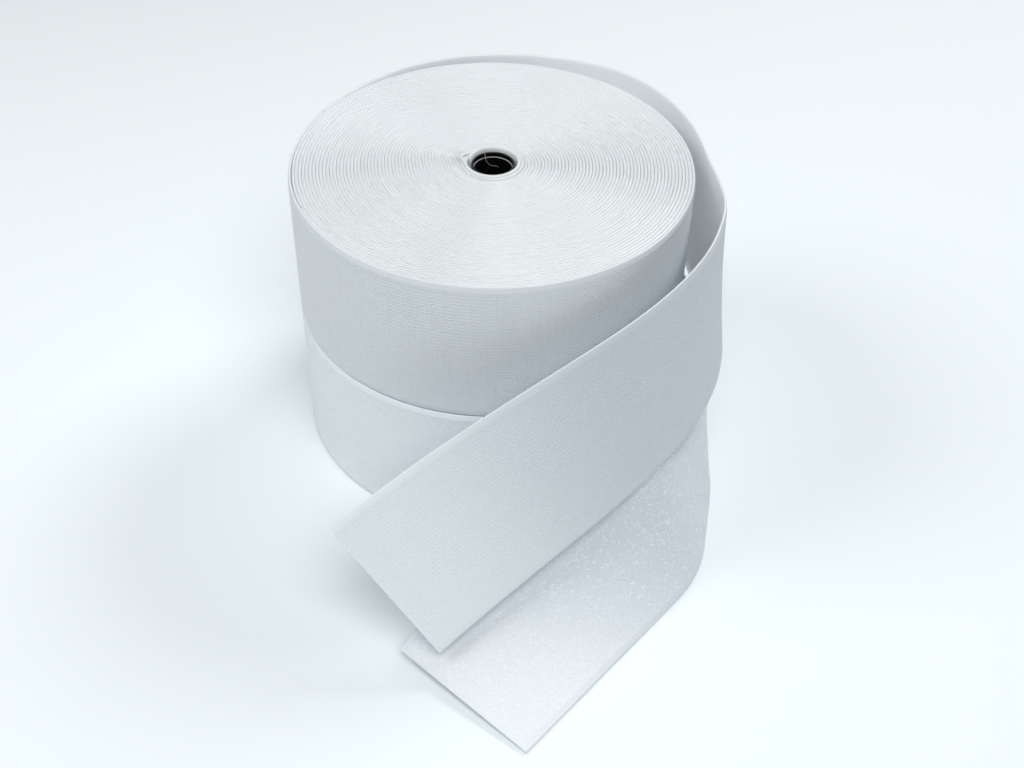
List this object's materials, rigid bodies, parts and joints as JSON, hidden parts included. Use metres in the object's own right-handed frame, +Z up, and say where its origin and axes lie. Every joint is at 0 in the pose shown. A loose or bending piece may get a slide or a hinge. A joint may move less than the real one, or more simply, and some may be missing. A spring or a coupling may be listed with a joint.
{
  "type": "hook and loop tape roll pair",
  "caption": "Hook tape roll standing on a loop tape roll: white tape wound on black core tubes, each roll with a loosened last turn and a free tail lying out in front.",
  "frame": {"origin": "middle of the pair's footprint on the floor", "axes": "+Z up along the rolls' axes, the tails lie out towards -Y and leave the rolls on the +X side"},
  "size_m": [0.2792, 0.4386, 0.2003],
  "materials": {
    "core_plastic": "satin moulded",
    "loop_tape": "soft brushed pile",
    "hook_tape": "woven with a field of fine hooks"
  },
  "bodies": {
    "loop_roll": {"loop_core": "core_plastic", "loop_packed_turns": "loop_tape", "loop_outer_turns": "loop_tape"},
    "loop_free_end": {"loop_tail": "loop_tape"},
    "hook_roll": {"hook_core": "core_plastic", "hook_packed_turns": "hook_tape", "hook_outer_turns": "hook_tape"},
    "hook_free_end": {"hook_tail": "hook_tape"}
  },
  "joints": [
    {"name": "hook_roll_turn", "type": "hinge", "parent": "loop_roll", "child": "hook_roll", "pos_m": [-0.01123, 0.08, 0.15], "axis": [0, 0, 1], "range_deg": [0, 240]},
    {"name": "hook_tail_swing", "type": "hinge", "parent": "hook_roll", "child": "hook_free_end", "pos_m": [0.12775, 0.07952, 0.15], "axis": [0, 0, 1], "range_deg": [0, 40]},
    {"name": "loop_tail_swing", "type": "hinge", "parent": "loop_roll", "child": "loop_free_end", "pos_m": [0.12662, 0.07374, 0.05], "axis": [0, 0, 1], "range_deg": [-15, 0]}
  ]
}
